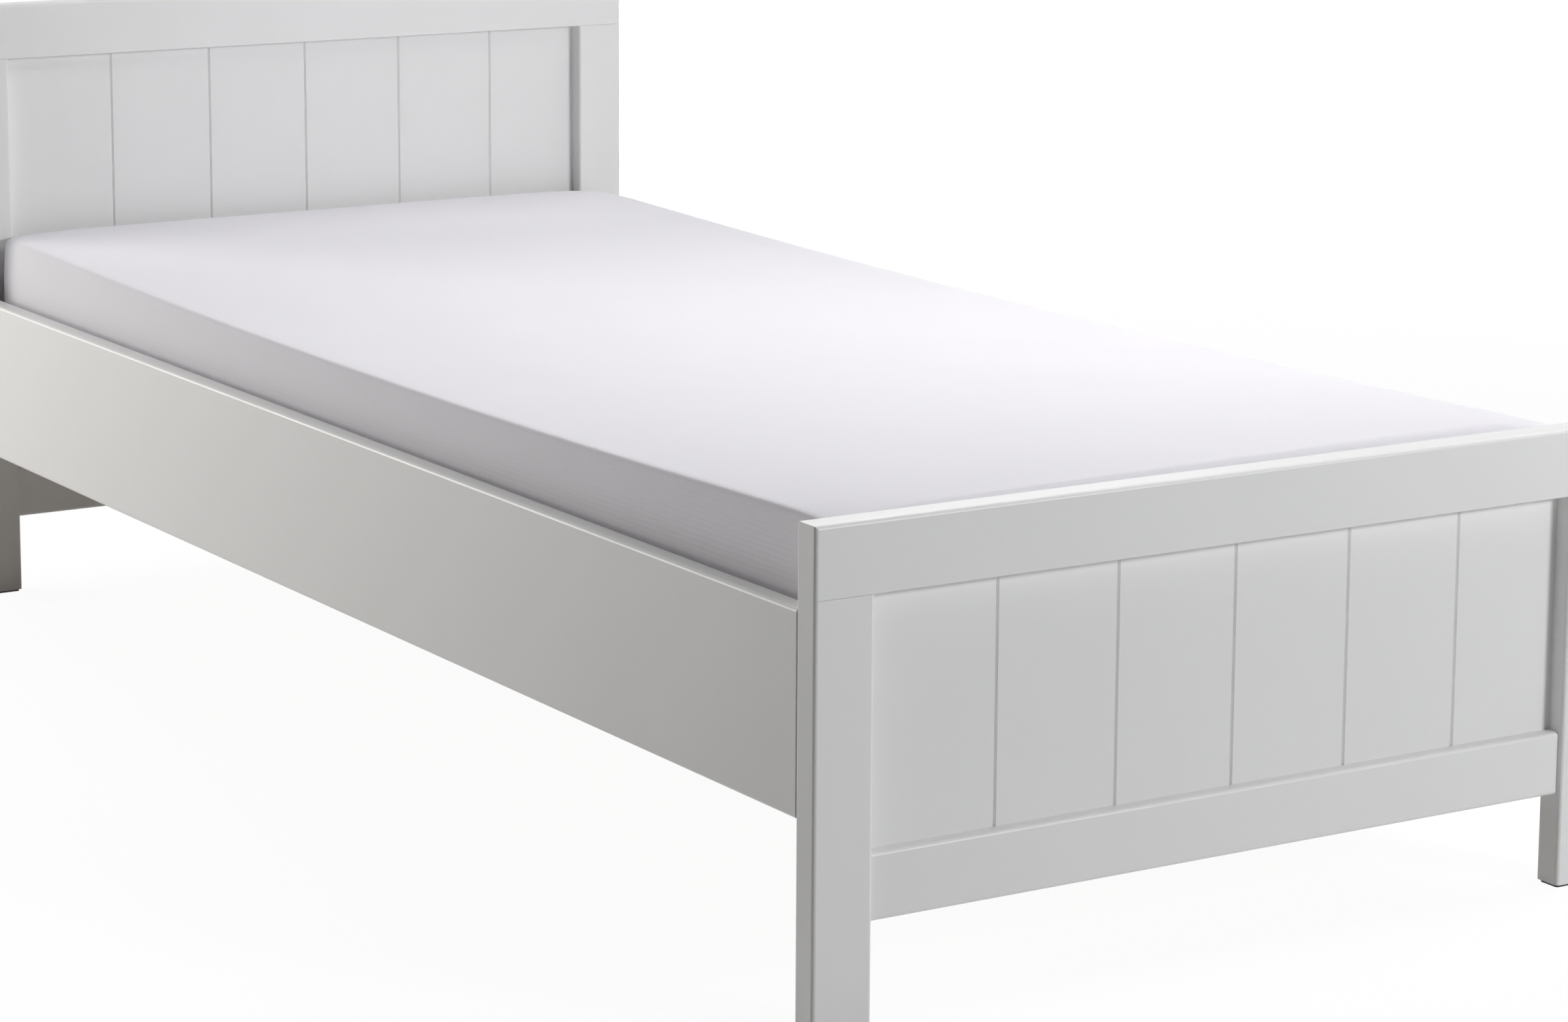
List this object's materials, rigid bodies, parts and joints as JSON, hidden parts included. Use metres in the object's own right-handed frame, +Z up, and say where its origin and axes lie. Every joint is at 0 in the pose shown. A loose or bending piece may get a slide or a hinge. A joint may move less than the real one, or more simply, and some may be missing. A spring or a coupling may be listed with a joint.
{
  "type": "single bed",
  "caption": "White lacquered wooden single bed: framed, boarded head and foot ends, plain side rails, slatted base and a lift-out foam mattress.",
  "frame": {"origin": "on the floor, under the middle of the bed's overall box", "axes": "+Z up, +Y from the foot end to the head end, +X across the bed; -X is the left side as seen from the foot end"},
  "size_m": [0.97, 2.074, 0.771],
  "materials": {
    "white_lacquer": "satin",
    "bare_pine": "matte",
    "beech": "matte",
    "zinc_steel": "satin",
    "cotton_cover": "matte",
    "foam": "matte",
    "webbing": "matte",
    "dark_plastic": "matte"
  },
  "bodies": {
    "frame": {"bottom_rail_dowels": "beech", "bracket_bolts": "zinc_steel", "bracket_screws": "zinc_steel", "corner_bracket_foot_left": "zinc_steel", "corner_bracket_foot_right": "zinc_steel", "corner_bracket_head_left": "zinc_steel", "corner_bracket_head_right": "zinc_steel", "floor_glide_foot_left": "dark_plastic", "floor_glide_foot_right": "dark_plastic", "floor_glide_head_left": "dark_plastic", "floor_glide_head_right": "dark_plastic", "foot_board_1": "white_lacquer", "foot_board_2": "white_lacquer", "foot_board_3": "white_lacquer", "foot_board_4": "white_lacquer", "foot_board_5": "white_lacquer", "foot_board_6": "white_lacquer", "foot_bottom_rail": "white_lacquer", "foot_post_left": "white_lacquer", "foot_post_right": "white_lacquer", "foot_top_rail": "white_lacquer", "head_board_1": "white_lacquer", "head_board_2": "white_lacquer", "head_board_3": "white_lacquer", "head_board_4": "white_lacquer", "head_board_5": "white_lacquer", "head_board_6": "white_lacquer", "head_bottom_rail": "white_lacquer", "head_post_left": "white_lacquer", "head_post_right": "white_lacquer", "head_top_rail": "white_lacquer", "insert_nuts": "zinc_steel", "ledger_screws": "zinc_steel", "panel_pins": "zinc_steel", "side_rail_dowels": "beech", "side_rail_left": "white_lacquer", "side_rail_right": "white_lacquer", "slat_1": "bare_pine", "slat_10": "bare_pine", "slat_11": "bare_pine", "slat_12": "bare_pine", "slat_13": "bare_pine", "slat_14": "bare_pine", "slat_2": "bare_pine", "slat_3": "bare_pine", "slat_4": "bare_pine", "slat_5": "bare_pine", "slat_6": "bare_pine", "slat_7": "bare_pine", "slat_8": "bare_pine", "slat_9": "bare_pine", "slat_ledger_left": "bare_pine", "slat_ledger_right": "bare_pine", "slat_screws": "zinc_steel", "slat_tape_left": "webbing", "slat_tape_right": "webbing", "tape_staples": "zinc_steel", "top_rail_dowels": "beech"},
    "mattress": {"mattress_cover": "cotton_cover", "mattress_core": "foam"}
  },
  "joints": [
    {"name": "mattress_lift", "type": "slide", "parent": "frame", "child": "mattress", "axis": [0, 0, 1], "range_m": [0, 0.35]}
  ]
}
